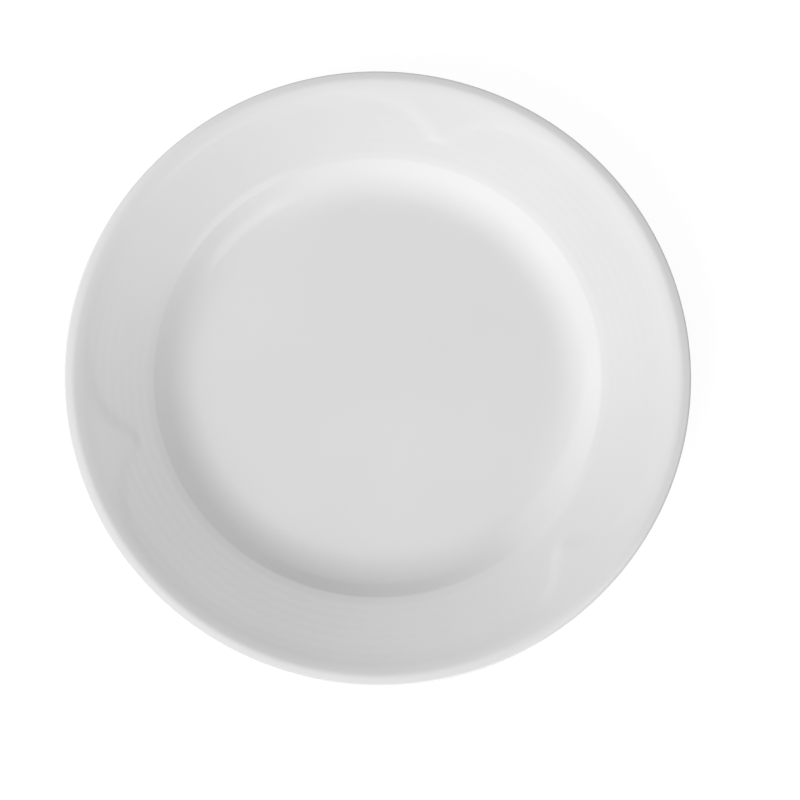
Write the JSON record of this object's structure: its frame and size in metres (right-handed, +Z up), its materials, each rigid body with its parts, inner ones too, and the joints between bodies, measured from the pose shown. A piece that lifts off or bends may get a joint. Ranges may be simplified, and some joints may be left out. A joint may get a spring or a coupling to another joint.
{
  "type": "flat plate",
  "caption": "Round porcelain dinner plate with a flat well, a sloping wide rim, a rolled lip and a bare foot ring to stand on.",
  "frame": {"origin": "middle of the plate on the plane of the foot ring's standing face", "axes": "+Z up out of the well along the plate's axis; +X and +Y level, the plate is round"},
  "size_m": [0.24, 0.24, 0.0207],
  "materials": {
    "porcelain": "bare fired porcelain, matte, seen only on the standing ring",
    "glaze": "clear glossy glaze over white porcelain"
  },
  "bodies": {
    "root": {"porcelain_body": "porcelain", "outer_glaze": "glaze", "base_glaze": "glaze"}
  },
  "joints": []
}
